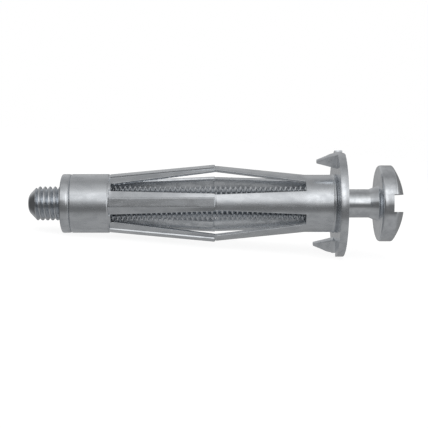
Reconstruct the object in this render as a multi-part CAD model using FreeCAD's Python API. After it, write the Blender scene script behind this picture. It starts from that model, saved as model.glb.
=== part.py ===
import FreeCAD, Part
import math
import os

# Metal drywall anchor: a slotted sleeve with a toothed flange, a threaded nut and a machine screw.
# The axis of the anchor is X. The origin is on that axis at the wall face of the flange,
# and +X runs out of the wall towards the screw head. Lengths are in millimetres, angles in degrees.

# Screw
thread_diameter = 6.0
nut_thread_gap = 0.05
screw_length = 61.4
thread_length = 51.9
point_length = 1.5
point_nose_length = 0.27
point_nose_radius = 1.75
point_flat_radius = 1.25
shank_diameter = 5.0
runout_length = 0.5
neck_diameter = 6.2
neck_length = 1.55
head_diameter = 13.4
head_height = 4.52
head_dome_radius = 11.5
head_under_break = 0.4
head_edge_break = 0.2
driver_slot_width = 3.0
driver_slot_depth = 2.65
driver_slot_turn = -9.0
head_standoff = 6.16

# Sleeve, rolled and pressed from one sheet
sheet_thickness = 0.65
sleeve_length = 46.35
collar_radius = 5.18
collar_length = 7.15
tail_radius = 5.05
tail_length = 5.44
bead_width = 0.78
bead_height = 0.15
bead_crest = 0.3
flare_depth = 0.5

# Legs of the sleeve
leg_count = 5
first_leg_turn = 80.0
fold_from_wall = 21.1
leg_half_width_ends = 2.06
ramp_length = 0.45
fold_step_length = 0.4
channel_root_crown_drop = 0.03
channel_root_flank_drop = 1.0
channel_fold_crown_height = 6.87
channel_fold_flank_drop = 0.43
channel_fold_half_width = 1.52
crown_half_width = 0.69
crown_bend_radius = 1.0
strip_fold_height = 6.69
strip_fold_half_width = 1.36

# Nut pressed into the far end of the sleeve
nut_rim_length = 1.65
nut_rim_break = 0.25
nut_spigot_length = 6.0
nut_bore_chamfer = 0.35
seam_chamfer = 0.2

# Flange with two folded teeth
flange_diameter = 18.8
flange_thickness = 1.32
flange_edge_break = 0.25
flange_bore_break = 0.2
tooth_count = 2
first_tooth_turn = 18.0
tooth_length = 3.6
tooth_root_radius = 6.7
tooth_tip_radius = 7.9
tooth_tip_width = 0.4
tooth_shoulder_radius = 3.6
tooth_shoulder_turn = 32.0
notch_angle = 28.0

# Places worked out from the sizes above
axis_x = FreeCAD.Vector(1, 0, 0)
origin = FreeCAD.Vector(0, 0, 0)
sleeve_end = -sleeve_length
slots_start = sleeve_end + collar_length
slots_end = -tail_length
fold_x = -fold_from_wall
head_seat = flange_thickness + head_standoff
screw_tip = head_seat - screw_length
collar_bore = collar_radius - sheet_thickness
tail_bore = tail_radius - sheet_thickness
flange_radius = flange_diameter / 2


def point(x, radius):
    """Point of a turned profile: a place along the axis and a radius."""
    return FreeCAD.Vector(x, 0, radius)


def line(start, end):
    """Straight edge."""
    return Part.LineSegment(start, end).toShape()


def through(start, middle, end):
    """Arc through three points, or a straight edge where they are in line."""
    bow = (middle - start).cross(end - start).Length / (end - start).Length
    if bow < 1e-6:
        return line(start, end)
    return Part.Arc(start, middle, end).toShape()


def chain(points):
    """Straight edges that join the points in order."""
    return [line(a, b) for a, b in zip(points, points[1:])]


def turned(edges):
    """Solid turned about the axis from the edges of a closed half profile."""
    return Part.Face(Part.Wire(edges)).revolve(origin, axis_x, 360)


def around(shape, turn):
    """Copy of a shape turned about the axis."""
    copy = shape.copy()
    copy.rotate(origin, axis_x, turn)
    return copy


def make_screw():
    """Screw with a domed slotted head; the thread is shown at its major diameter."""
    thread_radius = thread_diameter / 2
    shank_radius = shank_diameter / 2
    head_radius = head_diameter / 2
    thread_end = screw_tip + thread_length
    apex = head_seat + head_height

    def dome_x(radius):
        """Place along the axis of the domed face at a radius."""
        return apex - head_dome_radius + math.sqrt(head_dome_radius**2 - radius**2)

    dome_start = point(dome_x(head_radius - head_edge_break), head_radius - head_edge_break)
    dome_middle = point(dome_x(head_radius / 2), head_radius / 2)
    edges = chain([
        point(screw_tip, 0),
        point(screw_tip, point_flat_radius),
        point(screw_tip + point_nose_length, point_nose_radius),
        point(screw_tip + point_length, thread_radius),
        point(thread_end, thread_radius),
        point(thread_end + runout_length, shank_radius),
        point(head_seat - neck_length, shank_radius),
        point(head_seat, neck_diameter / 2),
        point(head_seat, head_radius - head_under_break),
        point(head_seat + head_under_break, head_radius),
        point(dome_start.x - head_edge_break, head_radius),
        dome_start,
    ])
    edges.append(through(dome_start, dome_middle, point(apex, 0)))
    edges.append(line(point(apex, 0), point(screw_tip, 0)))
    screw = turned(edges)

    slot = Part.makeBox(
        driver_slot_depth + head_edge_break,
        2 * head_diameter,
        driver_slot_width,
        FreeCAD.Vector(apex - driver_slot_depth, -head_diameter, -driver_slot_width / 2),
    )
    return screw.cut(around(slot, driver_slot_turn))


def make_nut():
    """Threaded nut: a rim that closes the sleeve's end and a spigot pressed into the collar."""
    bore_radius = thread_diameter / 2 + nut_thread_gap
    outer_face = sleeve_end - nut_rim_length
    inner_face = sleeve_end + nut_spigot_length
    return turned(chain([
        point(outer_face + nut_bore_chamfer, bore_radius),
        point(outer_face, bore_radius + nut_bore_chamfer),
        point(outer_face, collar_radius - nut_rim_break),
        point(outer_face + nut_rim_break, collar_radius),
        point(sleeve_end - seam_chamfer, collar_radius),
        point(sleeve_end, collar_radius - seam_chamfer),
        point(sleeve_end, collar_bore),
        point(inner_face, collar_bore),
        point(inner_face, bore_radius + nut_bore_chamfer),
        point(inner_face - nut_bore_chamfer, bore_radius),
        point(outer_face + nut_bore_chamfer, bore_radius),
    ]))


def pressed_half(crown_height, flank_drop, half_width, inset):
    """Half outline of the pressed channel: flat crown, round bend and straight flank.

    The inset is zero for the outer skin and the sheet's thickness for the inner one.
    """
    lean = math.atan2(flank_drop, half_width - crown_half_width)
    bend_start = crown_half_width - crown_bend_radius * math.tan(lean / 2)
    centre_height = crown_height - crown_bend_radius
    radius = crown_bend_radius - inset
    bend = [
        (bend_start + radius * math.sin(turn), centre_height + radius * math.cos(turn))
        for turn in (0, lean / 2, lean)
    ]
    edge = (
        half_width - inset * math.sin(lean),
        crown_height - flank_drop - inset * math.cos(lean),
    )
    flank = ((bend[2][0] + edge[0]) / 2, (bend[2][1] + edge[1]) / 2)
    return [(0, centre_height + radius), *bend, flank, edge]


def rolled_half(radius, lift, half_width, inset):
    """Half outline of a plain strip of the rolled tube, lifted outwards, with radial cut edges."""
    edge_turn = math.asin(half_width / radius)
    shares = (0, 0.2, 0.33, 0.46, 0.73, 1)
    skin = radius - inset
    return [(skin * math.sin(edge_turn * s), lift + skin * math.cos(edge_turn * s)) for s in shares]


def leg_section(x, outer_half, inner_half):
    """Closed outline across a leg, of five edges outside, five inside and two cut faces."""

    def skin(half):
        """Edges and ends of one skin, from one cut face to the other."""
        mirrored = [(-across, height) for across, height in reversed(half[1:])]
        places = [FreeCAD.Vector(x, across, height) for across, height in mirrored + half]
        return [through(*places[i : i + 3]) for i in range(0, len(places) - 1, 2)], places

    outer, outer_places = skin(outer_half)
    inner, inner_places = skin(inner_half)
    right_cut = line(outer_places[-1], inner_places[-1])
    left_cut = line(inner_places[0], outer_places[0])
    return Part.Wire([*outer, right_cut, *reversed(inner), left_cut])


def make_leg():
    """One leg: a ramp down from the collar, a pressed channel, the fold and a plain strip."""

    def pressed(x, *sizes):
        """Section of the pressed channel at a place along the axis."""
        return leg_section(x, pressed_half(*sizes, 0), pressed_half(*sizes, sheet_thickness))

    def rolled(x, *sizes):
        """Section of the plain rolled strip at a place along the axis."""
        return leg_section(x, rolled_half(*sizes, 0), rolled_half(*sizes, sheet_thickness))

    root_crown = collar_radius - channel_root_crown_drop
    strip_lift = strip_fold_height - tail_radius
    sections = [
        rolled(slots_start, collar_radius, 0, leg_half_width_ends),
        pressed(slots_start + ramp_length, root_crown, channel_root_flank_drop, leg_half_width_ends),
        pressed(
            fold_x - fold_step_length,
            channel_fold_crown_height,
            channel_fold_flank_drop,
            channel_fold_half_width,
        ),
        rolled(fold_x, tail_radius, strip_lift, strip_fold_half_width),
        rolled(slots_end, tail_radius, 0, leg_half_width_ends),
    ]
    return Part.makeLoft(sections, True, True)


def make_sleeve():
    """Sleeve: collar, legs and tail in one sheet, the tail beaded and flared to hold the flange."""
    collar = turned(chain([
        point(sleeve_end, collar_bore),
        point(sleeve_end, collar_radius - seam_chamfer),
        point(sleeve_end + seam_chamfer, collar_radius),
        point(slots_start, collar_radius),
        point(slots_start, collar_bore),
        point(sleeve_end, collar_bore),
    ]))

    flare_start = flange_thickness - flare_depth
    flare_radius = tail_radius + flare_depth
    inner_flare = flare_radius - sheet_thickness * math.sqrt(2)
    inner_flare_start = flange_thickness - (inner_flare - tail_bore)
    tail = turned(chain([
        point(slots_end, tail_bore),
        point(slots_end, tail_radius),
        point(-bead_width, tail_radius),
        point(-bead_width / 2 - bead_crest / 2, tail_radius + bead_height),
        point(-bead_width / 2 + bead_crest / 2, tail_radius + bead_height),
        point(0, tail_radius),
        point(flare_start, tail_radius),
        point(flange_thickness, flare_radius),
        point(flange_thickness, inner_flare),
        point(inner_flare_start, tail_bore),
        point(slots_end, tail_bore),
    ]))

    leg = make_leg()
    legs = [around(leg, first_leg_turn + i * 360 / leg_count) for i in range(leg_count)]
    return collar.multiFuse([*legs, tail]).removeSplitter()


def make_tooth():
    """One tooth at the top of the flange, folded square from the disc about a radial line."""
    shoulder = math.radians(tooth_shoulder_turn)
    shoulder_x = tooth_shoulder_radius * math.sin(shoulder)
    shoulder_drop = tooth_shoulder_radius * (1 - math.cos(shoulder))
    half_turn_x = tooth_shoulder_radius * math.sin(shoulder / 2)
    half_turn_drop = tooth_shoulder_radius * (1 - math.cos(shoulder / 2))
    edges = [through(
        point(0, flange_radius),
        point(-half_turn_x, flange_radius - half_turn_drop),
        point(-shoulder_x, flange_radius - shoulder_drop),
    )]
    edges += chain([
        point(-shoulder_x, flange_radius - shoulder_drop),
        point(-tooth_length, tooth_tip_radius + tooth_tip_width / 2),
        point(-tooth_length, tooth_tip_radius - tooth_tip_width / 2),
        point(0, tooth_root_radius),
        point(0, flange_radius),
    ])
    blade = Part.Face(Part.Wire(edges)).extrude(FreeCAD.Vector(0, flange_thickness, 0))
    bend = Part.makeCylinder(
        flange_thickness,
        flange_radius - tooth_root_radius,
        FreeCAD.Vector(0, 0, tooth_root_radius),
        FreeCAD.Vector(0, 0, 1),
        90,
    )
    rim = Part.makeCylinder(
        flange_radius,
        tooth_length + flange_thickness,
        FreeCAD.Vector(-tooth_length, 0, 0),
        axis_x,
    )
    return blade.fuse(bend).common(rim)


def make_notch():
    """Wedge of the disc that one tooth was folded from, on the side away from its fold."""
    reach = 2 * flange_radius
    far = math.radians(notch_angle)
    corners = [
        FreeCAD.Vector(0, 0, tooth_root_radius),
        FreeCAD.Vector(0, 0, reach),
        FreeCAD.Vector(0, reach * math.sin(far), reach * math.cos(far)),
        FreeCAD.Vector(0, tooth_root_radius * math.sin(far), tooth_root_radius * math.cos(far)),
    ]
    outline = Part.Wire(chain([*corners, corners[0]]))
    return Part.Face(outline).extrude(FreeCAD.Vector(flange_thickness, 0, 0))


def make_flange():
    """Flange: a thick washer held by the sleeve's bead and flare, with two teeth folded from it."""
    disc = turned(chain([
        point(flange_bore_break, tail_radius),
        point(0, tail_radius + flange_bore_break),
        point(0, flange_radius - flange_edge_break),
        point(flange_edge_break, flange_radius),
        point(flange_thickness - flange_edge_break, flange_radius),
        point(flange_thickness, flange_radius - flange_edge_break),
        point(flange_thickness, tail_radius + flare_depth),
        point(flange_thickness - flare_depth, tail_radius),
        point(flange_bore_break, tail_radius),
    ]))
    turns = [first_tooth_turn + i * 360 / tooth_count for i in range(tooth_count)]
    notched = disc.cut([around(make_notch(), turn) for turn in turns])
    return notched.multiFuse([around(make_tooth(), turn) for turn in turns]).removeSplitter()


os.makedirs("parts", exist_ok=True)
for name, maker in (
    ("screw", make_screw),
    ("sleeve", make_sleeve),
    ("threaded_nut", make_nut),
    ("toothed_flange", make_flange),
):
    solid = maker()
    solid.exportStep("parts/" + name + ".step")
    print(name, solid.isValid(), len(solid.Solids), round(solid.Volume, 2))
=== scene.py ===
"""Looks of the metal drywall anchor: its four metal pieces, their zinc finishes and a small studio.

The anchor's axis is X, its origin lies on that axis at the wall face of the flange, and +X runs out of
the wall towards the screw head. Sizes of the pieces are in millimetres and degrees, and those of the
studio in metres and degrees. Meshes are in metres.
"""

import logging
import math
from collections.abc import Sequence
from dataclasses import dataclass
from enum import Enum

import bmesh
import bpy
import numpy as np
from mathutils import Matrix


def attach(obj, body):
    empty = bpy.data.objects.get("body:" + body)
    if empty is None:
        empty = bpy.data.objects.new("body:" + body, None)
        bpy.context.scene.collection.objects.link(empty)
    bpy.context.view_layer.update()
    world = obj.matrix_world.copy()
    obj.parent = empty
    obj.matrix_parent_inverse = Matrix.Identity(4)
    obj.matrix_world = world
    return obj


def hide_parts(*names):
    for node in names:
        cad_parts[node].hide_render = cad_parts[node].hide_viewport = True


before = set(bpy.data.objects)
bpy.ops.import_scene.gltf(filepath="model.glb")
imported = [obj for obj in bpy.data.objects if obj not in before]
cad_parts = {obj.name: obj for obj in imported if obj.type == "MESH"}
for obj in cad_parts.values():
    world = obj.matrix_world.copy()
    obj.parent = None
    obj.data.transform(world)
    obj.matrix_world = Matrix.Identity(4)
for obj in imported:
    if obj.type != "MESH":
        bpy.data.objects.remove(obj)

# Metres
MM = 0.001
CLIP_START = 0.01

# Millimetres
MERGE_DISTANCE = 0.0004
NEAR = 0.01
SENSOR_WIDTH = 36.0

TINY = 1e-6
SHARP_EDGE = math.radians(38)
ROUNDED_EDGE = math.radians(55)

Array = np.ndarray
Point = tuple[float, float]
Vector = tuple[float, float, float]
Colour = tuple[float, float, float, float]
log = logging.getLogger("anchor")


def smooth_step(t: Array) -> Array:
    """Smooth rise from 0 to 1: three t squared less two t cubed, with t held between 0 and 1."""
    t = np.clip(t, 0.0, 1.0)
    return t * t * (3.0 - 2.0 * t)


def share_between(values: Array, low: float, high: float) -> Array:
    """Share of the way from the low value to the high one, held between 0 and 1."""
    return np.clip((values - low) / (high - low), 0.0, 1.0)


def grey(level: float) -> Colour:
    """Opaque grey of a level."""
    return (level, level, level, 1.0)


def spread(places: Sequence[float], steps: Sequence[int]) -> Array:
    """Cuts each stretch of a line into equal steps.

    Args:
        places: Ends of the stretches, in order.
        steps: Number of steps in each stretch.

    Returns:
        All places along the line, ends included.
    """
    parts = [np.linspace(a, b, n, endpoint=False) for a, b, n in zip(places, places[1:], steps)]
    return np.concatenate([*parts, [places[-1]]])


def rounded(corners: Sequence[Point], cuts: Sequence[float], steps: int = 6) -> Array:
    """Rounds the inner corners of an open profile.

    Each corner P is cut back to A and B on its two edges and the curve between them is
    (1-s)^2 A + 2s(1-s) P + s^2 B, with s from 0 to 1.

    Args:
        corners: Corners of the profile as place along the axis and radius.
        cuts: Length cut back at each inner corner.
        steps: Points on each rounded corner.

    Returns:
        Points of the rounded profile.
    """
    outline = np.array(corners, float)
    corner = outline[1:-1]
    back, ahead = outline[:-2] - corner, outline[2:] - corner
    length = np.array(cuts, float)[:, None]
    start = corner + length * back / np.linalg.norm(back, axis=1, keepdims=True)
    end = corner + length * ahead / np.linalg.norm(ahead, axis=1, keepdims=True)
    s = np.linspace(0.0, 1.0, steps)[None, :, None]
    arcs = (1 - s) ** 2 * start[:, None] + 2 * s * (1 - s) * corner[:, None] + s**2 * end[:, None]
    return np.concatenate([outline[:1], arcs.reshape(-1, 2), outline[-1:]])


def placed(x: Array | float, y: Array | float, z: Array | float) -> Array:
    """Points with the given coordinates, each an array or a number that serves all points."""
    return np.stack(np.broadcast_arrays(x, y, z), axis=-1)


def around_axis(x: Array | float, radius: Array, angles: Array) -> Array:
    """Points (x, r cos a, r sin a) at places x, radii r and angles a, from +Y towards +Z in radians."""
    return placed(x, radius * np.cos(angles), radius * np.sin(angles))


def turned(profile: Array, angles: Array) -> Array:
    """Turns a profile of places and radii about the axis, with a row for each of its points."""
    return around_axis(profile[:, :1], profile[:, 1:], angles)


def spun(points: Array, angle: float) -> Array:
    """Turns points about the axis by a, in radians: (x, y cos a - z sin a, y sin a + z cos a)."""
    (x, y, z), c, s = np.moveaxis(points, -1, 0), math.cos(angle), math.sin(angle)
    return placed(x, y * c - z * s, y * s + z * c)


def grid_quads(rows: int, columns: int, keep: Array | None = None) -> Array:
    """Quads between the points of a grid, with their fronts on the side of column crossed with row.

    Args:
        rows: Number of rows of points.
        columns: Number of columns of points.
        keep: Which quads are made, one flag for each, or all when left out.

    Returns:
        Corner indices, four to a quad.
    """
    index = np.arange(rows * columns).reshape(rows, columns)
    quads = np.stack([index[:-1, :-1], index[:-1, 1:], index[1:, 1:], index[1:, :-1]], axis=-1)
    return quads.reshape(-1, 4) if keep is None else quads[keep]


def linked(name: str, data: bpy.types.ID) -> bpy.types.Object:
    """Makes an object and links it to the scene.

    Args:
        name: Name of the object.
        data: Its mesh, light or camera.

    Returns:
        The object, at the origin.
    """
    item = bpy.data.objects.new(name, data)
    bpy.context.scene.collection.objects.link(item)
    return item


class Skin:
    """Closed surface under construction, joined from grids of points where they meet."""

    def __init__(self) -> None:
        """Starts with no points."""
        self.points: list[Array] = []
        self.quads: list[Array] = []
        self.count = 0

    def add(self, points: Array, quads: Array) -> None:
        """Adds points and the quads between them.

        Args:
            points: Points in millimetres, in any shape that ends in three.
            quads: Corner indices into those points.
        """
        flat = points.reshape(-1, 3)
        self.points.append(flat)
        self.quads.append(quads + self.count)
        self.count += len(flat)

    def add_grid(self, grid: Array) -> None:
        """Adds a grid of points, in rows and columns, as quads."""
        self.add(grid, grid_quads(grid.shape[0], grid.shape[1]))

    def piece(self, name: str) -> bpy.types.Object:
        """Makes the mesh, welds the seams and poles, and links it as an object.

        Args:
            name: Name of the piece.

        Returns:
            The object, at the origin, in metres.
        """
        points = np.concatenate(self.points)
        quads = np.concatenate(self.quads)
        mesh = bpy.data.meshes.new(name)
        mesh.from_pydata(points * MM, [], quads)
        work = bmesh.new()
        work.from_mesh(mesh)
        bmesh.ops.remove_doubles(work, verts=work.verts, dist=MERGE_DISTANCE * MM)
        bmesh.ops.dissolve_degenerate(work, edges=work.edges, dist=MERGE_DISTANCE * MM)
        loose = [vertex for vertex in work.verts if not vertex.link_faces]
        bmesh.ops.delete(work, geom=loose, context="VERTS")
        work.to_mesh(mesh)
        work.free()
        return linked(name, mesh)


class Sheet:
    """Sheet metal under construction: patches given by both skins, joined edge to edge."""

    def __init__(self) -> None:
        """Starts with no patches."""
        self.outer: list[Array] = []
        self.inner: list[Array] = []
        self.quads: list[Array] = []
        self.count = 0

    def add(self, outer: Array, inner: Array, keep: Array | None = None) -> None:
        """Adds a patch.

        Args:
            outer: Grid of points of the outer skin.
            inner: Grid of points of the inner skin, each behind its outer point.
            keep: Which quads are made.
        """
        self.outer.append(outer.reshape(-1, 3))
        self.inner.append(inner.reshape(-1, 3))
        self.quads.append(grid_quads(outer.shape[0], outer.shape[1], keep) + self.count)
        self.count += outer.shape[0] * outer.shape[1]

    def skin(self) -> Skin:
        """Joins the patches and closes the sheet with cut faces along its free edges.

        Points that agree on both skins become one. An edge is free when no quad runs along it the
        other way, and its cut face joins the two skins there.

        Returns:
            The closed surface.
        """
        outer, inner = np.concatenate(self.outer), np.concatenate(self.inner)
        keys = np.round(np.hstack([outer, inner]) / MERGE_DISTANCE).astype(np.int64)
        _, first, places = np.unique(keys, axis=0, return_index=True, return_inverse=True)
        outer, inner, size = outer[first], inner[first], len(first)
        quads = places.reshape(-1)[np.concatenate(self.quads)]
        starts, ends = quads.reshape(-1), np.roll(quads, -1, axis=1).reshape(-1)
        free = ~np.isin(starts * size + ends, ends * size + starts) & (starts != ends)
        starts, ends = starts[free], ends[free]
        cuts = np.stack([ends, starts, starts + size, ends + size], axis=1)
        joined = Skin()
        joined.add(np.concatenate([outer, inner]), np.concatenate([quads, quads[:, ::-1] + size, cuts]))
        return joined


def soften_edges(item: bpy.types.Object, width: float, weighted: bool = False) -> None:
    """Rounds sharp edges a little and leaves the result in the mesh.

    Args:
        item: The piece.
        width: Width of the rounding in millimetres.
        weighted: Whether edges are chosen by their bevel weight, or else by ROUNDED_EDGE.
    """
    bevel = item.modifiers.new("edge_rounding", "BEVEL")
    bevel.width = width * MM
    bevel.segments = 3
    bevel.limit_method = "WEIGHT" if weighted else "ANGLE"
    bevel.angle_limit = ROUNDED_EDGE
    bevel.miter_outer = "MITER_ARC"
    bpy.context.view_layer.update()
    graph = bpy.context.evaluated_depsgraph_get()
    finished = bpy.data.meshes.new_from_object(item.evaluated_get(graph))
    item.modifiers.clear()
    rough, item.data = item.data, finished
    bpy.data.meshes.remove(rough)
    finished.name = item.name


def smooth_faces(item: bpy.types.Object) -> None:
    """Shades a piece smoothly, apart from its sharp edges."""
    item.data.shade_smooth()
    item.data.set_sharp_from_angle(angle=SHARP_EDGE)


class Wire:
    """Output socket of a shader node, with arithmetic written as Python operators."""

    def __init__(self, nodes: "ShaderNodes", socket: bpy.types.NodeSocket) -> None:
        """Keeps the socket and the tree it belongs to."""
        self.nodes = nodes
        self.socket = socket

    def _math(self, operation: str, *values: "Wire | float") -> "Wire":
        """Result of a Math node on the values."""
        return self.nodes.add("ShaderNodeMath", {"operation": operation}, dict(enumerate(values)))

    def __add__(self, other: "Wire | float") -> "Wire":
        """Sum."""
        return self._math("ADD", self, other)

    def __mul__(self, other: "Wire | float") -> "Wire":
        """Product."""
        return self._math("MULTIPLY", self, other)

    def __sub__(self, other: "Wire | float") -> "Wire":
        """Difference."""
        return self._math("SUBTRACT", self, other)

    def __rsub__(self, other: "Wire | float") -> "Wire":
        """Difference from a number."""
        return self._math("SUBTRACT", other, self)

    def __truediv__(self, other: "Wire | float") -> "Wire":
        """Quotient."""
        return self._math("DIVIDE", self, other)

    def stepped(self, low: float, high: float) -> "Wire":
        """Smooth rise from 0 at the low value to 1 at the high one."""
        inputs = {"Value": self, "From Min": low, "From Max": high}
        return self.nodes.add("ShaderNodeMapRange", {"interpolation_type": "SMOOTHSTEP"}, inputs)


class ShaderNodes:
    """Node tree that is emptied and then filled node by node."""

    def __init__(self, tree: bpy.types.NodeTree) -> None:
        """Empties the tree."""
        self.tree = tree
        tree.nodes.clear()

    def add(
        self,
        kind: str,
        settings: dict | None = None,
        inputs: dict | None = None,
        output: str | int = 0,
    ) -> Wire | None:
        """Adds a node.

        Args:
            kind: The node's type.
            settings: Its properties, and under "stops" a ramp's positions and colours.
            inputs: Values or wires for its sockets, by name, identifier or number.
            output: Name, identifier or number of the output that is returned.

        Returns:
            The chosen output, or nothing for a node without outputs.
        """
        node = self.tree.nodes.new(kind)
        for key, value in (settings or {}).items():
            if key == "stops":
                self._set_stops(node.color_ramp, value)
            else:
                setattr(node, key, value)
        for key, value in (inputs or {}).items():
            socket = self._socket(node.inputs, key)
            if isinstance(value, Wire):
                self.tree.links.new(value.socket, socket)
            else:
                socket.default_value = value
        return Wire(self, self._socket(node.outputs, output)) if len(node.outputs) else None

    def vector(self, operation: str, *vectors: Wire | Vector) -> Wire:
        """Vector that a Vector Math node makes of two vectors, or the value that it makes of one."""
        inputs, output = dict(enumerate(vectors)), 0 if len(vectors) > 1 else "Value"
        return self.add("ShaderNodeVectorMath", {"operation": operation}, inputs, output)

    def noise(self, place: Wire, scale: float, detail: float) -> Wire:
        """Noise from 0 to 1 at a place."""
        return self.add("ShaderNodeTexNoise", {}, {"Vector": place, "Scale": scale, "Detail": detail})

    def mix(self, share: Wire, first: Wire | Colour, second: Wire | Colour) -> Wire:
        """Blend of two colours, with the given share of the second one."""
        inputs = {"Factor_Float": share, "A_Color": first, "B_Color": second}
        return self.add("ShaderNodeMix", {"data_type": "RGBA"}, inputs, "Result_Color")

    @staticmethod
    def _socket(sockets: bpy.types.bpy_prop_collection, key: str | int) -> bpy.types.NodeSocket:
        """Socket by identifier, or else by name or number."""
        return next((socket for socket in sockets if socket.identifier == key), None) or sockets[key]

    @staticmethod
    def _set_stops(ramp: bpy.types.ColorRamp, stops: list[Point]) -> None:
        """Gives a ramp its grey levels.

        Args:
            ramp: The ramp, with its two first elements.
            stops: Positions and levels from the left.
        """
        ramp.elements[0].position, ramp.elements[1].position = 0.0, 1.0
        for position, level in stops[1:-1]:
            ramp.elements.new(position).color = grey(level)
        ramp.elements[0].color, ramp.elements[-1].color = grey(stops[0][1]), grey(stops[-1][1])
        ramp.interpolation = "EASE"


class Marks(Enum):
    """Fine marks of forming, each with the stretch of its noise along X, Y and Z.

    For turning it is the stretch along the axis, the one away from it and the sway around it.
    """

    DRAWN = (0.25, 3.5, 3.5)
    TURNED = (4.0, 4.0, 0.25)
    STAMPED = (2.0, 1.5, 2.5)


@dataclass(frozen=True)
class ZincPlating:
    """Bright zinc on steel: cool grey, slightly clouded, with the fine marks of forming below it."""

    name: str
    marks: Marks
    roughness: float = 0.22
    ripple_depth: float = 0.004
    ripple_stretch: float = 1.0
    mark_depth: float = 0.0012
    scratch_depth: float = 0.8
    cloud_scale: float = 0.9
    cloud_run: Point = (0.35, 0.7)
    fine_scale: float = 6.0
    fine_share: float = 0.3
    scratch_run: Point = (0.66, 0.72)
    scratch_turn: Vector = (0.4, 0.7, 1.1)
    scratch_stretch: Vector = (0.35, 5.0, 5.0)
    light: Vector = (0.76, 0.785, 0.815)
    dull: Vector = (0.62, 0.645, 0.675)

    def _mark_coordinates(self, nodes: ShaderNodes, place: Wire) -> Wire:
        """Coordinates in millimetres, stretched so that noise on them runs along the marks.

        Args:
            nodes: The material's nodes.
            place: Place on the piece in millimetres.

        Returns:
            Stretched coordinates.
        """
        if self.marks is not Marks.TURNED:
            return nodes.vector("MULTIPLY", place, self.marks.value)
        along, outwards, sway = self.marks.value
        x = nodes.add("ShaderNodeSeparateXYZ", {}, {0: place}, "X")
        radius = nodes.vector("LENGTH", nodes.vector("MULTIPLY", place, (0.0, 1.0, 1.0)))
        section = nodes.add("ShaderNodeCombineXYZ", {}, {"X": x * along, "Y": radius * outwards})
        return nodes.vector("ADD", section, nodes.vector("MULTIPLY", place, (0.0, sway, sway)))

    def material(self) -> bpy.types.Material:
        """Builds the material.

        Returns:
            A metal whose colour, gloss and height vary with the place on the piece.
        """
        made = bpy.data.materials.new(self.name)
        made.use_nodes = True
        nodes = ShaderNodes(made.node_tree)
        place = nodes.vector("MULTIPLY", nodes.add("ShaderNodeTexCoord", output="Object"), (1 / MM,) * 3)
        along_draw = nodes.vector("MULTIPLY", place, (self.ripple_stretch, 1.0, 1.0))
        cloud = nodes.noise(along_draw, self.cloud_scale, 2.0)
        fine = nodes.noise(place, self.fine_scale, 3.0)
        marks = nodes.noise(self._mark_coordinates(nodes, place), 1.0, 3.0)
        mapping = {"Vector": place, "Rotation": self.scratch_turn, "Scale": self.scratch_stretch}
        scratches = nodes.noise(nodes.add("ShaderNodeMapping", {}, mapping), 1.0, 1.0)
        scratches = scratches.stepped(*self.scratch_run)

        haze = cloud.stepped(*self.cloud_run) * (1 - self.fine_share) + fine * self.fine_share
        colour = nodes.mix(haze, (*self.light, 1.0), (*self.dull, 1.0))
        roughness = haze * 0.12 + marks * 0.08 + scratches * 0.06 + (self.roughness - 0.1)
        height = (marks - scratches * self.scratch_depth) * self.mark_depth + cloud * self.ripple_depth
        bump = nodes.add("ShaderNodeBump", {}, {"Strength": 1.0, "Distance": MM, "Height": height})
        look = {"Base Color": colour, "Metallic": 1.0, "Roughness": roughness, "Normal": bump}
        surface = nodes.add("ShaderNodeBsdfPrincipled", {}, look)
        nodes.add("ShaderNodeOutputMaterial", {}, {"Surface": surface})
        return made

    def dress(self, item: bpy.types.Object) -> None:
        """Gives a piece this finish as its only material."""
        item.data.materials.clear()
        item.data.materials.append(self.material())


@dataclass(frozen=True)
class Thread:
    """Cut thread about the axis, shared so that the nut's grooves face the screw's crests at rest."""

    pitch: float = 0.8825
    crest_place: float = -51.08
    crest_flat: float = 0.16
    crest_roundness: float = 0.2
    rows_per_pitch: int = 10

    def rows(self, start: float, end: float, angles: Array) -> tuple[Array, Array]:
        """Rows of points that climb with the angle, one turn for each pitch.

        A row of phase p, counted from the screw's crest, lies at x = crest + pitch (p + turns). Its
        rise falls from 1 to 0 with the softened distance to the nearest crest's flat.

        Args:
            start: First place along the axis.
            end: Last place along the axis.
            angles: Angles of the columns.

        Returns:
            Place along the axis of every point, and the rise of each row.
        """
        turns = (angles - math.pi / 2) / (2 * math.pi)
        low, high = (np.array([start, end]) - self.crest_place) / self.pitch - turns[0]
        count = self.rows_per_pitch
        phase = (np.arange(math.floor((low - 1) * count), math.ceil(high * count) + 1) / count)[:, None]
        x = np.clip(self.crest_place + self.pitch * (phase + turns), start, end)
        distance = share_between(2 * np.abs(phase - np.round(phase)), self.crest_flat, 1.0)
        soft = self.crest_roundness
        fall = (np.sqrt(distance**2 + soft**2) - soft) / (math.sqrt(1 + soft**2) - soft)
        return x, 1 - fall


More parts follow.
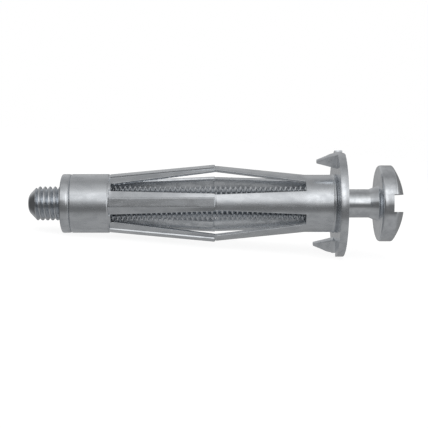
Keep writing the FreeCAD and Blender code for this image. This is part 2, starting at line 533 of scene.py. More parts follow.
@dataclass(frozen=True)
class Screw:
    """Machine screw with a domed slotted head, a cone under it, a bare shank and a cut thread."""

    finish: ZincPlating
    thread: Thread = Thread()
    tip: float = -53.92
    flat_radius: float = 1.25
    nose_length: float = 0.27
    nose_radius: float = 1.75
    point_slope: float = 1.016
    point_rounding: float = 0.12
    plain_point: float = 0.95
    thread_end: float = -1.52
    thread_fade: float = 1.2
    crest_radius: float = 3.0
    root_radius: float = 2.47
    shank_radius: float = 2.5
    neck_start: float = 5.93
    head_seat: float = 7.48
    neck_radius: float = 3.1
    seat_length: float = 0.1
    seat_height: float = 0.12
    shank_cuts: tuple[float, ...] = (0.03, 0.06, 0.06, 0.5)
    head_radius: float = 6.7
    rim_band: float = 0.4
    rim_rounding: float = 0.24
    head_apex: float = 12.0
    dome_radius: float = 11.5
    slot_floor: float = 9.35
    slot_half_width: float = 1.5
    slot_turn: float = -9.0
    slot_edge_rounding: float = 0.12
    dome_rows: int = 17
    lobe_columns: int = 44
    end_columns: int = 8

    def _dome(self, radius: Array | float) -> Array | float:
        """Place along the axis of the domed face: its sphere's centre plus the root of R^2 - r^2."""
        return self.head_apex - self.dome_radius + np.sqrt(self.dome_radius**2 - np.square(radius))

    def _slot_angle(self) -> float:
        """Half angle that the slot takes at the head's rim."""
        return math.asin(self.slot_half_width / self.head_radius)

    def _ring_angles(self) -> Array:
        """Angles of the columns, from one slot wall round to itself, so that the rim meets the slot.

        Returns:
            Angles in radians, the first one repeated a turn later.
        """
        w = self._slot_angle()
        turn = math.radians(self.slot_turn)
        ends = [-w, w, math.pi - w, math.pi + w, 2 * math.pi - w]
        return spread(ends, [self.end_columns, self.lobe_columns] * 2) + turn

    def _point_profile(self) -> Array:
        """Tip of the screw: a flat end, a small nose and a cone up to the first thread.

        Returns:
            Points of the profile.
        """
        nose = self.tip + self.nose_length
        start = self.tip + self.plain_point
        corners = [
            (self.tip, 0.0),
            (self.tip, self.flat_radius),
            (nose, self.nose_radius),
            (start, self.nose_radius + (start - nose) * self.point_slope),
        ]
        return rounded(corners, [self.point_rounding] * 2)

    def _thread(self, angles: Array) -> Array:
        """Threaded length, held under the cone of the point and faded to the shank at the run-out.

        Args:
            angles: Angles of the columns.

        Returns:
            Grid of points.
        """
        start, end = self.tip + self.plain_point, self.thread_end
        x, rise = self.thread.rows(start, end, angles)
        left = smooth_step((end - x) / self.thread_fade)
        base = self.shank_radius + (self.root_radius - self.shank_radius) * left
        radius = base + (self.crest_radius - self.root_radius) * rise * left
        cone = self.nose_radius + (x - self.tip - self.nose_length) * self.point_slope
        return around_axis(x, np.minimum(radius, cone), angles)

    def _shank_profile(self) -> Array:
        """Shank, cone, underside and rim of the head up to the floor of its slot.

        Returns:
            Points of the profile.
        """
        corners = [
            (self.thread_end, self.shank_radius),
            (self.neck_start, self.shank_radius),
            (self.head_seat - self.seat_length, self.neck_radius),
            (self.head_seat, self.neck_radius + self.seat_height),
            (self.head_seat, self.head_radius),
            (self.slot_floor, self.head_radius),
        ]
        return rounded(corners, self.shank_cuts)

    def _lobe(self) -> tuple[Array, Array]:
        """Half of the head above the slot floor, in the slot's own frame.

        Row j is an arc of radius r_j cut off by the slot wall: its angles run evenly from
        asin(w / r_j) to the same angle on the other side, so the last row is one point on the wall.

        Returns:
            Grid of the outside, and grid of the slot wall below it.
        """
        w = self.slot_half_width
        inside = self.head_radius - self.rim_band
        corners = [
            (self.slot_floor, self.head_radius),
            (float(self._dome(self.head_radius)), self.head_radius),
            (float(self._dome(inside)), inside),
        ]
        rim = rounded(corners, [self.rim_rounding])
        across = np.linspace(math.sqrt(inside**2 - w**2), 0.0, self.dome_rows + 1)[1:]
        radius = np.sqrt(across**2 + w**2)
        profile = np.concatenate([rim, np.stack([self._dome(radius), radius], axis=1)])
        x, r = profile[:, :1], profile[:, 1:]
        edge = np.arcsin(np.clip(w / r, 0.0, 1.0))
        angles = edge + (math.pi - 2 * edge) * np.linspace(0.0, 1.0, self.lobe_columns + 1)
        outside = around_axis(x, r, angles)

        reach = np.sqrt(np.maximum(profile[1:, 1] ** 2 - w**2, 0.0))
        places = np.concatenate([-reach, reach[-2::-1]])
        tops = np.concatenate([profile[1:, 0], profile[-2:0:-1, 0]])
        heights = np.stack([np.full_like(tops, self.slot_floor), tops])
        return outside, placed(heights, places, w)

    def _floor(self, wall: Array) -> Array:
        """Floor of the slot, in the slot's own frame: the wall's places scaled out to the rim.

        Args:
            wall: Grid of one slot wall.

        Returns:
            Grid of points.
        """
        w = self._slot_angle()
        turn = np.linspace(-w, w, self.end_columns + 1)[:, None]
        share = wall[0, :, 1] / abs(wall[0, 0, 1])
        y = share * self.head_radius * np.cos(turn)
        return placed(self.slot_floor, y, self.head_radius * np.sin(turn))

    def _mark_slot_edges(self, item: bpy.types.Object) -> None:
        """Gives the outer edges of the slot a bevel weight, found by where both their ends lie.

        Args:
            item: The screw.
        """
        mesh = item.data
        points = np.zeros(len(mesh.vertices) * 3)
        mesh.vertices.foreach_get("co", points)
        points = spun(points.reshape(-1, 3) / MM, -math.radians(self.slot_turn))
        edges = np.zeros(len(mesh.edges) * 2, int)
        mesh.edges.foreach_get("vertices", edges)
        x, y, z = points[edges.reshape(-1, 2)].transpose(2, 0, 1)
        on_wall = np.abs(np.abs(z) - self.slot_half_width).max(1) < NEAR
        at_rim = np.abs(np.hypot(y, z) - self.head_radius).max(1) < NEAR
        above = x.min(1) > self.slot_floor + NEAR
        rising = x.max(1) > self.slot_floor + NEAR
        level = np.abs(x - self.slot_floor).max(1) < NEAR
        in_slot = np.abs(z).max(1) < self.slot_half_width + NEAR
        chosen = (on_wall & (above | (at_rim & rising))) | (level & at_rim & in_slot)
        weights = mesh.attributes.new("bevel_weight_edge", "FLOAT", "EDGE")
        weights.data.foreach_set("value", chosen.astype(np.float32))

    def build(self) -> bpy.types.Object:
        """Builds and dresses the screw.

        Returns:
            The finished piece.
        """
        angles = self._ring_angles()
        outside, wall = self._lobe()
        turn = math.radians(self.slot_turn)
        skin = Skin()
        skin.add_grid(turned(self._point_profile(), angles))
        skin.add_grid(self._thread(angles))
        skin.add_grid(turned(self._shank_profile(), angles))
        for half in (turn, turn + math.pi):
            skin.add_grid(spun(outside, half))
            skin.add_grid(spun(wall, half))
        skin.add_grid(spun(self._floor(wall), turn))
        item = skin.piece("slotted_screw")
        self._mark_slot_edges(item)
        soften_edges(item, self.slot_edge_rounding, weighted=True)
        smooth_faces(item)
        self.finish.dress(item)
        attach(item, "screw_body")
        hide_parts("screw")
        return item


@dataclass(frozen=True)
class ThreadedNut:
    """Nut that closes the sleeve's far end: a rim outside and a spigot inside the collar."""

    finish: ZincPlating
    thread: Thread = Thread()
    outer_face: float = -48.0
    seam: float = -46.35
    inner_face: float = -40.35
    rim_radius: float = 5.18
    spigot_radius: float = 4.53
    bore_radius: float = 3.05
    bore_break: float = 0.35
    face_rounding: float = 0.3
    seam_steps: tuple[Point, ...] = ((-0.42, 0.0), (-0.12, -0.06), (0.0, -0.2))
    seam_cuts: Point = (0.12, 0.08)
    spigot_rounding: float = 0.2
    thread_depth: float = 0.5
    thread_fade: float = 0.6
    columns: int = 160

    def _profile(self) -> Array:
        """Outline of the nut from one end of the bore to the other: outer face, rim, seam and spigot.

        Returns:
            Points of the profile.
        """
        corners = [
            (self.outer_face + self.bore_break, self.bore_radius),
            (self.outer_face, self.bore_radius),
            (self.outer_face, self.rim_radius),
            *((self.seam + along, self.rim_radius + up) for along, up in self.seam_steps),
            (self.seam, self.spigot_radius),
            (self.inner_face, self.spigot_radius),
            (self.inner_face, self.bore_radius),
            (self.inner_face - self.bore_break, self.bore_radius),
        ]
        cuts = [self.bore_break, self.face_rounding, *self.seam_cuts, 0.0, 0.0, self.spigot_rounding]
        return rounded(corners, [*cuts, self.bore_break])

    def _bore(self, angles: Array) -> Array:
        """Bore with its thread cut outwards, faded at both ends, from the inner face to the outer one.

        Args:
            angles: Angles of the columns.

        Returns:
            Grid of points.
        """
        start, end = self.outer_face + self.bore_break, self.inner_face - self.bore_break
        x, rise = self.thread.rows(start, end, angles)
        left = smooth_step((x - start) / self.thread_fade) * smooth_step((end - x) / self.thread_fade)
        radius = self.bore_radius + self.thread_depth * rise * left
        return around_axis(x, radius, angles)[::-1]

    def build(self) -> bpy.types.Object:
        """Builds and dresses the nut.

        Returns:
            The finished piece.
        """
        skin = Skin()
        angles = np.linspace(0.0, 2 * math.pi, self.columns + 1)
        skin.add_grid(turned(self._profile(), angles))
        skin.add_grid(self._bore(angles))
        item = skin.piece("threaded_end_nut")
        smooth_faces(item)
        self.finish.dress(item)
        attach(item, "sleeve_body")
        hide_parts("threaded_nut")
        return item


@dataclass(frozen=True)
class ExpansionSleeve:
    """Sleeve rolled from sheet: collar, five legs that are channels up to their fold, and tail."""

    finish: ZincPlating
    thickness: float = 0.65
    end: float = -46.35
    end_run: float = 0.25
    end_height: float = 0.2
    collar_radius: float = 5.18
    band_start: float = -39.86
    band_run: float = 0.2
    band_radius: float = 5.06
    pressing_start: float = -39.62
    pressing_run: float = 0.2
    flank_run: float = 1.0
    flank_drop_start: float = 0.8
    slots_start: float = -39.2
    slots_end: float = -5.44
    fold: float = -21.1
    tail_radius: float = 5.05
    bead_start: float = -0.78
    bead_height: float = 0.15
    flare_start: float = 0.82
    front: float = 1.32
    inner_flare_lag: float = 0.27
    legs: int = 5
    first_leg: float = 170.0
    half_width_ends: float = 2.06
    strip_half_width: float = 1.36
    strip_height: float = 6.69
    ramp: float = 0.24
    fold_step: float = 0.2
    inner_fold_step: float = 0.6
    fold_groove: float = 0.06
    groove_lag: float = 0.04
    groove_width: float = 0.1
    leg_thinning: float = 0.2
    step_height: float = 0.3
    step_lean: float = 84.0
    step_round: float = 0.05
    crown_root: float = 5.13
    crown_fold: float = 6.87
    flank_drop_root: float = 1.0
    flank_drop_fold: float = 0.43
    channel_half_width_fold: float = 1.52
    crown_half_width: float = 0.8
    bend_radius: float = 0.66
    crown_share: float = 0.3
    wall_shares: Point = (0.38, 0.44)
    bend_share: float = 0.52
    row_steps: tuple[int, ...] = (5, 10, 8, 5, 4, 8, 16, 3, 20, 5, 14, 6, 14, 2, 5)
    column_steps: tuple[int, ...] = (3, 4, 2, 4, 5)
    gap_columns: int = 8
    edge_rounding: float = 0.08

    def _rows(self) -> Array:
        """Places along the axis, close together at the seam, the band, the folds and the bead.

        Returns:
            Places from the collar's end to the flare.
        """
        collar = [self.end, self.end + 0.3, self.band_start - 0.1]
        root = [self.pressing_start, self.pressing_start + self.pressing_run, self.slots_start]
        channel = [self.slots_start + self.flank_run, self.fold - 1.0, self.fold - 0.4]
        strip = [self.fold + 0.4, self.fold + 1.4, self.slots_end]
        tail = [self.bead_start - 0.1, 0.0, self.flare_start, self.front]
        return spread([*collar, *root, *channel, *strip, *tail], self.row_steps)

    def _columns(self) -> Array:
        """Places across a leg from -1 to 1, with the crown, the bends and the flanks apart."""
        half = spread([0.0, self.crown_share, *self.wall_shares, self.bend_share, 1.0], self.column_steps)
        return np.concatenate([-half[:0:-1], half])

    def _radius(self, x: Array, inset: float) -> Array:
        """Radius of the rolled tube: collar, band, tail, bead and flare, less the inset.

        The collar's end is rounded as a quarter of an ellipse, and the bead is a squared sine.

        Args:
            x: Places along the axis.
            inset: Zero for the outer skin and the sheet's thickness for the inner one.

        Returns:
            Radii of that skin.
        """
        plain = np.interp(x, [self.slots_start, self.fold], [self.collar_radius, self.tail_radius])
        flare = np.clip(x - self.flare_start, 0.0, None)
        if inset:
            return plain - inset + np.clip(flare - self.inner_flare_lag, 0.0, None)
        to_end = 1 - np.clip((x - self.end) / self.end_run, 0.0, 1.0)
        seam = self.end_height * (1 - np.sqrt(1 - to_end**2))
        drop = (self.collar_radius - self.band_radius) * smooth_step((x - self.band_start) / self.band_run)
        drop *= 1 - smooth_step((x - self.slots_start) / self.ramp)
        along = share_between(x, self.bead_start, 0.0)
        return plain - seam - drop + self.bead_height * np.sin(math.pi * along) ** 2 + flare

    def _pressing(self, x: Array) -> tuple[Array, Array, Array]:
        """Sizes of the pressed channel, even from root to fold apart from the flank's sink at the root.

        Args:
            x: Places along the axis.

        Returns:
            Height of the crown, drop of the flank's edge below it, and half width of the leg.
        """
        share = (x - self.slots_start) / (self.fold - self.slots_start)
        crown = self.crown_root + (self.crown_fold - self.crown_root) * share
        drop = self.flank_drop_root + (self.flank_drop_fold - self.flank_drop_root) * share
        sunk = smooth_step((x - self.pressing_start) / self.flank_run)
        drop = self.flank_drop_start + (drop - self.flank_drop_start) * sunk
        width = self.half_width_ends + (self.channel_half_width_fold - self.half_width_ends) * share
        return crown, drop, width

    def _channel_inside(self, x: Array, s: Array, inset: float) -> tuple[Array, Array]:
        """Inner skin of the pressed channel: flat crown, round bend and straight flank.

        The bend is an arc of the bend radius less the inset through the flank's lean, and the flank
        runs straight from there to the cut edge.

        Args:
            x: Places along the axis, in a column.
            s: Places across the leg, in a row.
            inset: Depth below the outer skin.

        Returns:
            Distance across and height above the axis.
        """
        crown, drop, width = self._pressing(x)
        lean = np.arctan2(drop, width - self.crown_half_width)
        bend_start = self.crown_half_width - self.bend_radius * np.tan(lean / 2)
        radius = self.bend_radius - inset
        size = np.abs(s)
        on_crown = share_between(size, 0.0, self.crown_share)
        turn = lean * share_between(size, self.crown_share, self.bend_share)
        on_flank = share_between(size, self.bend_share, 1.0)
        across = on_crown * bend_start + radius * np.sin(turn)
        height = crown - self.bend_radius + radius * np.cos(turn)
        edge_across = width - inset * np.sin(lean)
        edge_height = crown - drop - inset * np.cos(lean)
        end_across = bend_start + radius * np.sin(lean)
        end_height = crown - self.bend_radius + radius * np.cos(lean)
        across = across + on_flank * (edge_across - end_across)
        height = height + on_flank * (edge_height - end_height)
        return np.sign(s) * across, height

    def _channel_outside(self, x: Array, s: Array) -> tuple[Array, Array]:
        """Outer skin of the pressed channel: the crown stands above the flanks by a small steep step.

        From the middle: flat crown, arc of the step's radius through the step's lean, straight wall,
        the same arc turned back to the flank's lean, and a straight flank to the cut edge.

        Args:
            x: Places along the axis, in a column.
            s: Places across the leg, in a row.

        Returns:
            Distance across and height above the axis.
        """
        crown, drop, width = self._pressing(x)
        r, steep = self.step_round, math.radians(self.step_lean)
        lean = np.arctan2(drop - self.step_height, width - self.crown_half_width - r)
        wall = (self.step_height - r * (1 + np.cos(lean) - 2 * math.cos(steep))) / math.sin(steep)
        size = np.abs(s)
        top, foot = self.wall_shares
        on_crown = share_between(size, 0.0, self.crown_share)
        over = steep * share_between(size, self.crown_share, top)
        down = share_between(size, top, foot)
        back = steep - (steep - lean) * share_between(size, foot, self.bend_share)
        start = self.crown_half_width - r * math.tan(steep / 2)
        across = start * on_crown + r * np.sin(over) + wall * math.cos(steep) * down
        across = across + r * (math.sin(steep) - np.sin(back))
        height = crown - r * (1 - np.cos(over)) - wall * math.sin(steep) * down
        height = height - r * (np.cos(back) - math.cos(steep))
        on_flank = share_between(size, self.bend_share, 1.0)
        foot_across = start + r * (2 * math.sin(steep) - np.sin(lean)) + wall * math.cos(steep)
        across = across + on_flank * (width - foot_across)
        height = height - on_flank * (drop - self.step_height)
        return np.sign(s) * across, height

    def _leg(self, x: Array, s: Array, inset: float) -> tuple[Array, Array]:
        """Section across a leg, and across the tube at its two ends.

        The plain strip is an arc of the tube, lifted off the axis: across = r sin(e s) and
        height = lift + r cos(e s). It blends into the channel at its root and at the fold.

        Args:
            x: Places along the axis, in a column.
            s: Places across the leg, in a row.
            inset: Depth below the outer skin.

        Returns:
            Distance across and height above the axis.
        """
        ends = [self.slots_start, self.fold, self.slots_end]
        half_width = np.interp(x, ends, [self.half_width_ends, self.strip_half_width, self.half_width_ends])
        lift = np.interp(x, ends, [0.0, self.strip_height - self.tail_radius, 0.0])
        thinning = inset * self.leg_thinning * smooth_step((x - self.slots_start) / self.ramp)
        radius = self._radius(x, inset) + thinning * smooth_step((self.slots_end - x) / self.ramp)
        edge = np.arcsin(half_width / self._radius(x, 0.0))
        across, height = radius * np.sin(edge * s), lift + radius * np.cos(edge * s)
        if inset:
            pressed_across, pressed_height = self._channel_inside(x, s, inset * (1 - self.leg_thinning))
        else:
            pressed_across, pressed_height = self._channel_outside(x, s)
        share = smooth_step((x - self.pressing_start) / self.pressing_run)
        step = self.inner_fold_step if inset else self.fold_step
        share = share * (1 - smooth_step((x - self.fold + step) / step))
        across = across + share * (pressed_across - across)
        height = height + share * (pressed_height - height)
        if not inset:
            off_groove = (x - self.fold - self.groove_lag) / self.groove_width
            height = height - self.fold_groove * np.exp(-(off_groove**2))
        return across, height

    def _skin(self, x: Array, inset: float) -> Array:
        """One skin of the whole sleeve.

        Args:
            x: Places along the axis.
            inset: Depth below the outer skin.

        Returns:
            Grid of points whose last column repeats the first.
        """
        x = x[:, None]
        s = self._columns()[None, :]
        across, height = self._leg(x, s, inset)
        radius = self._radius(x, inset)
        edge = np.arcsin(self.half_width_ends / self._radius(x, 0.0))
        step = 2 * math.pi / self.legs
        gap = np.linspace(0.0, 1.0, self.gap_columns + 1)[None, 1:-1]
        gap_angle = edge + (step - 2 * edge) * gap
        blocks = []
        for leg in range(self.legs):
            centre = math.radians(self.first_leg) + leg * step
            section = spun(placed(x, height, across), centre)
            blocks += [section, around_axis(x, radius, centre + gap_angle)]
        return np.concatenate([*blocks, blocks[0][:, :1]], axis=1)

    def build(self) -> bpy.types.Object:
        """Builds and dresses the sleeve.

        Returns:
            The finished piece.
        """
        x = self._rows()
        middle = (x[:-1] + x[1:]) / 2
        slotted = (middle > self.slots_start) & (middle < self.slots_end)
        leg_quads = len(self._columns()) - 1
        in_gap = np.tile(np.arange(leg_quads + self.gap_columns) >= leg_quads, self.legs)
        sheet = Sheet()
        keep = ~(slotted[:, None] & in_gap[None, :])
        sheet.add(self._skin(x, 0.0), self._skin(x, self.thickness), keep)
        item = sheet.skin().piece("expansion_sleeve")
        soften_edges(item, self.edge_rounding)
        smooth_faces(item)
        self.finish.dress(item)
        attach(item, "sleeve_body")
        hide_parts("sleeve")
        return item


@dataclass(frozen=True)
class ToothedFlange:
    """Thick washer with two teeth folded down from notches in its edge."""

    finish: ZincPlating
    thickness: float = 1.32
    radius: float = 9.39
    notch_radius: float = 6.7
    front_bore: float = 5.52
    wall_bore: float = 5.07
    first_fold: float = 108.0
    notch_angle: float = 28.0
    teeth: int = 2
    tooth_length: float = 3.6
    tip_radius: float = 7.9
    tip_width: float = 0.4
    shoulder_radius: float = 3.6
    shoulder_turn: float = 32.0
    root_sink: float = 0.22
    sink_run: float = 0.5
    tip_thinning: float = 0.42
    rim_band: float = 0.4
    ring_steps: tuple[int, ...] = (2, 6, 5)
    blade_steps: tuple[int, ...] = (8, 10)
    disc_columns: int = 76
    notch_columns: int = 14
    bend_rows: int = 8
    edge_rounding: float = 0.14

    def _rings(self) -> Array:
        """Radii of the rows from the rim to the bore, the notch's own radius among them."""
        places = [self.radius, self.radius - self.rim_band, self.notch_radius, self.front_bore]
        return spread(places, self.ring_steps)

    def _disc(self, sheet: Sheet) -> None:
        """Adds the disc: its front skin is the outer one. Quads in the notches are left out.

        In a notch the row at the notch's radius follows the chord, h / cos(a) at the angle a from
        the notch's middle.

        Args:
            sheet: The sheet that takes the patch.
        """
        rings = self._rings()
        pitch = 360.0 / self.teeth
        folds = [self.first_fold + pitch * i for i in range(self.teeth)]
        stops = [folds[0]]
        for fold in folds[1:] + [folds[0] + 360.0]:
            stops += [fold - self.notch_angle, fold]
        degrees = spread(stops, [self.disc_columns, self.notch_columns] * self.teeth)
        angles = np.radians(degrees)
        before_fold = (folds[0] - degrees) % pitch
        in_notch = before_fold < self.notch_angle + TINY
        half = math.radians(self.notch_angle) / 2
        chord = self.notch_radius * math.cos(half) / np.cos(np.radians(before_fold) - half)
        radii = np.repeat(rings[:, None], len(angles), axis=1)
        notch_row = int(np.argmin(np.abs(rings - self.notch_radius)))
        radii[notch_row] = np.where(in_notch, chord, radii[notch_row])
        growth = (self.radius - self.wall_bore) / (self.radius - self.front_bore)
        wall_radii = self.wall_bore + (radii - self.front_bore) * growth
        wall_radii[: notch_row + 1] = radii[: notch_row + 1]

        middle = ((folds[0] - (degrees[:-1] + degrees[1:]) / 2) % pitch) < self.notch_angle
        outside = np.arange(len(rings) - 1) < notch_row
        keep = ~(outside[:, None] & middle[None, :])
        sheet.add(around_axis(self.thickness, radii, angles), around_axis(0.0, wall_radii, angles), keep)

    def _tooth(self, sheet: Sheet, fold: float) -> None:
        """Adds one tooth: a quarter bend about the radial fold line and a blade that tapers to its tip.

        The blade's outer edge is an arc, r = R - s + sqrt(s^2 - d^2) at the depth d, and then straight
        to the tip. Its inner edge is straight. Rows lie between the two edges as on the disc.

        Args:
            sheet: The sheet that takes the patch.
            fold: Angle of the fold line in degrees.
        """
        rings = self._rings()
        rows = rings[rings > self.notch_radius - TINY]
        share = ((rows - self.notch_radius) / (self.radius - self.notch_radius))[:, None]
        shoulder = self.shoulder_radius * math.sin(math.radians(self.shoulder_turn))
        depth = spread([self.tooth_length, shoulder, 0.0], self.blade_steps)
        bend = np.linspace(math.pi / 2, 0.0, self.bend_rows + 1)[1:]
        bulge = np.sqrt(self.shoulder_radius**2 - np.minimum(depth, shoulder) ** 2)
        arc = self.radius - self.shoulder_radius + bulge
        outside, inside = self.tip_radius + self.tip_width / 2, self.tip_radius - self.tip_width / 2
        low = arc[depth <= shoulder][0]
        taper = low + (outside - low) * (depth - shoulder) / (self.tooth_length - shoulder)
        sink = self.root_sink * smooth_step(depth / self.sink_run) * (1 - depth / self.tooth_length)
        outer_edge = np.where(depth > shoulder, taper, arc) - sink
        inner_edge = self.notch_radius + (inside - self.notch_radius) * depth / self.tooth_length
        outer_edge = np.concatenate([outer_edge, np.full(len(bend), self.radius)])
        inner_edge = np.concatenate([inner_edge, np.full(len(bend), self.notch_radius)])
        height = inner_edge + (outer_edge - inner_edge) * share

        def skin(thick: float) -> Array:
            """Makes one skin.

            Args:
                thick: Its distance from the sharp inner corner of the fold.

            Returns:
                Grid of points.
            """
            along = np.concatenate([-depth, thick * np.cos(bend)])
            thinned = thick * (1 - self.tip_thinning * depth / self.tooth_length)
            side = np.concatenate([thinned, thick * np.sin(bend)])
            reach = np.minimum(height, np.sqrt(self.radius**2 - side**2))
            return spun(placed(along, side, reach), math.radians(fold) - math.pi / 2)

        sheet.add(skin(self.thickness), skin(0.0))

    def build(self) -> bpy.types.Object:
        """Builds and dresses the flange.

        Returns:
            The finished piece.
        """
        sheet = Sheet()
        self._disc(sheet)
        for i in range(self.teeth):
            self._tooth(sheet, self.first_fold + i * 360.0 / self.teeth)
        item = sheet.skin().piece("toothed_washer")
        soften_edges(item, self.edge_rounding)
        smooth_faces(item)
        self.finish.dress(item)
        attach(item, "sleeve_body")
        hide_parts("toothed_flange")
        return item


@dataclass(frozen=True)
class Studio:
    """White studio: camera, surroundings, pale floor and a soft light. The lens is in millimetres."""

    target: Vector = (-0.02134, -0.000293, -0.001847)
    distance: float = 0.1791
    rise: float = 9.0
    lens: float = 85.37
    light_rise: float = 75.0
    light_distance: float = 0.5
    light_size: Point = (0.5, 0.4)
    light_radiance: float = 0.8
    floor_radius: float = 0.4
    floor_at_nut: Point = (-0.04775, -0.00519)
    floor_at_flange: Point = (0.00025, -0.00927)
    floor_corners: int = 96
    floor_fade: Point = (0.12, 0.6)
    floor_grey: float = 0.3
    floor_glow: float = 0.87
    brightest: float = 1.55
    right_level: float = 1.1
    right_shade: float = 0.36
    far_left_level: float = 0.09
    left_run: Point = (-0.05, 0.22)
    right_run: Point = (0.10, 0.20)
    far_left_run: Point = (0.5, 0.95)
    far_right_run: Point = (0.7, 0.95)
    lower_run: Point = (-0.2, 0.0)
    upper_run: Point = (0.3, 0.6)
    surroundings: tuple[Point, ...] = (
        *((-180, 0.30), (-150, 0.31), (-100, 0.34), (-60, 0.38), (-34, 0.38), (-19, 0.17)),
        *((-2, 0.17), (9, 0.69), (20, 1.52), (42, 1.46), (56, 0.84), (75, 0.47)),
        *((97, 0.33), (120, 0.38), (140, 0.46), (155, 0.48), (168, 0.42), (180, 0.30)),
    )
    left_surroundings: tuple[Point, ...] = (
        *((-180, 0.40), (-60, 0.36), (-34, 0.32), (-19, 0.15), (15, 0.16)),
        *((28, 0.78), (44, 0.85), (60, 0.57), (80, 0.49), (100, 0.35)),
        *((140, 0.48), (155, 0.56), (170, 0.50), (180, 0.40)),
    )
    right_surroundings: tuple[Point, ...] = (
        *((-180, 0.20), (-150, 0.28), (-100, 0.34), (-60, 0.38), (-34, 0.38), (-19, 0.17)),
        *((2, 0.17), (13, 0.54), (22, 0.88), (42, 0.88), (56, 0.69), (75, 0.46)),
        *((97, 0.32), (140, 0.42), (160, 0.31), (180, 0.20)),
    )

    def _aim(self, item: bpy.types.Object, rise: float, distance: float) -> None:
        """Sets a camera or a light before the target and turns it to face it.

        Args:
            item: The camera or light.
            rise: Its rise above level, in degrees.
            distance: Its distance from the target.
        """
        angle = math.radians(rise)
        item.location = np.array(self.target) + distance * np.array([0.0, -math.cos(angle), math.sin(angle)])
        item.rotation_euler = (math.pi / 2 - angle, 0.0, 0.0)

    def _camera(self) -> None:
        """Sets the camera in front of the anchor, a little above it."""
        data = bpy.data.cameras.new("photo_camera")
        data.lens, data.sensor_width, data.clip_start = self.lens, SENSOR_WIDTH, CLIP_START
        camera = linked("photo_camera", data)
        self._aim(camera, self.rise, self.distance)
        bpy.context.scene.camera = camera

    def _light(self) -> None:
        """Hangs a square-cornered soft light over the anchor and keeps it out of reflections."""
        data = bpy.data.lights.new("overhead_box", "AREA")
        data.shape = "RECTANGLE"
        data.size, data.size_y = self.light_size
        data.energy = self.light_radiance * math.pi * math.prod(self.light_size)
        light = linked("overhead_box", data)
        self._aim(light, self.light_rise, self.light_distance)
        light.visible_glossy = False

    def _world(self) -> None:
        """Paints the surroundings by their angle about the anchor's axis, white where seen directly."""
        world = bpy.data.worlds.new("studio_surroundings")
        bpy.context.scene.world = world
        world.use_nodes = True
        nodes = ShaderNodes(world.node_tree)
        towards = nodes.add("ShaderNodeTexCoord", output="Generated")
        x, y, z = (nodes.add("ShaderNodeSeparateXYZ", {}, {0: towards}, axis) for axis in "XYZ")
        turn = nodes.add("ShaderNodeMath", {"operation": "ARCTAN2"}, {0: z, 1: y * -1.0})
        share = turn / (2 * math.pi) + 0.5

        def strip(levels: tuple[Point, ...]) -> Wire:
            """Ramp round the axis that passes the given levels at the given angles."""
            stops = [((angle + 180.0) / 360.0, level / self.brightest) for angle, level in levels]
            return nodes.add("ShaderNodeValToRGB", {"stops": stops}, {"Fac": share})

        def shown(level: float) -> Colour:
            """Grey that the strength of the surroundings raises to a level."""
            return grey(level / self.brightest)

        leftwards = x * -1.0
        colour = strip(self.surroundings)
        colour = nodes.mix(leftwards.stepped(*self.left_run), colour, strip(self.left_surroundings))
        colour = nodes.mix(x.stepped(*self.right_run), colour, strip(self.right_surroundings))
        colour = nodes.mix(leftwards.stepped(*self.far_left_run), colour, shown(self.far_left_level))
        level_with_anchor = z.stepped(*self.lower_run) * (1.0 - z.stepped(*self.upper_run))
        far_right = nodes.mix(level_with_anchor, shown(self.right_shade), shown(self.right_level))
        colour = nodes.mix(x.stepped(*self.far_right_run), colour, far_right)
        colour = nodes.mix(nodes.add("ShaderNodeLightPath", output="Is Camera Ray"), colour, shown(1.0))
        background = nodes.add("ShaderNodeBackground", {}, {"Color": colour, "Strength": self.brightest})
        nodes.add("ShaderNodeOutputWorld", {}, {"Surface": background})

    def _floor(self) -> None:
        """Lays a pale disc under the flange and the nut, clear at its edge and out of reflections."""
        (x0, z0), (x1, z1) = self.floor_at_nut, self.floor_at_flange
        slope = (z1 - z0) / (x1 - x0)
        angles = np.linspace(0.0, 2 * math.pi, self.floor_corners + 1)[:-1]
        x, y = self.floor_radius * np.cos(angles) + self.target[0], self.floor_radius * np.sin(angles)
        ring = placed(x, y, z0 + slope * (x - x0))
        mesh = bpy.data.meshes.new("pale_floor")
        mesh.from_pydata(ring, [], [list(range(len(ring)))])
        floor = linked("pale_floor", mesh)
        floor.visible_glossy = False

        paint = bpy.data.materials.new("pale_floor")
        paint.use_nodes = True
        nodes = ShaderNodes(paint.node_tree)
        place = nodes.add("ShaderNodeTexCoord", output="Object")
        reach = nodes.vector("LENGTH", nodes.vector("SUBTRACT", place, self.target))
        matt = nodes.add("ShaderNodeBsdfDiffuse", {}, {"Color": grey(self.floor_grey)})
        glow = nodes.add("ShaderNodeEmission", {}, {"Color": grey(1.0), "Strength": self.floor_glow})
        pale = nodes.add("ShaderNodeAddShader", {}, {0: matt, 1: glow})
        clear = nodes.add("ShaderNodeBsdfTransparent")
        edge = reach.stepped(*(self.floor_radius * share for share in self.floor_fade))
        mix = nodes.add("ShaderNodeMixShader", {}, {0: edge, 1: pale, 2: clear})
        nodes.add("ShaderNodeOutputMaterial", {}, {"Surface": mix})
        mesh.materials.append(paint)

    def build(self) -> None:
        """Sets up the whole studio."""
        bpy.context.scene.view_settings.view_transform = "Standard"
        self._camera()
        self._world()
        self._floor()
        self._light()


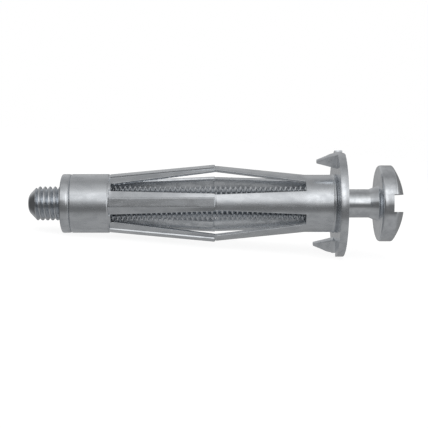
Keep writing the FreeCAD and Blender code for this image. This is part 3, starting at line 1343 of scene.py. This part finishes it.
def main() -> None:
    """Builds the pieces in order, then the studio."""
    logging.basicConfig(level=logging.INFO, format="%(name)s: %(message)s")
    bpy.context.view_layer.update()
    turned_zinc = ZincPlating("zinc_on_screw", Marks.TURNED, roughness=0.19)
    nut_zinc = ZincPlating("zinc_on_nut", Marks.TURNED, roughness=0.25, ripple_depth=0.006)
    drawn_zinc = ZincPlating(
        "zinc_on_sheet", Marks.DRAWN, roughness=0.27, ripple_depth=0.012, ripple_stretch=0.5
    )
    stamped_zinc = ZincPlating("zinc_on_flange", Marks.STAMPED, roughness=0.24, ripple_depth=0.006)
    makers = (
        ToothedFlange(stamped_zinc),
        ExpansionSleeve(drawn_zinc),
        ThreadedNut(nut_zinc),
        Screw(turned_zinc),
    )
    for maker in makers:
        item = maker.build()
        log.info("%s: %d faces", item.name, len(item.data.polygons))
    Studio().build()


if __name__ == "__main__":
    main()
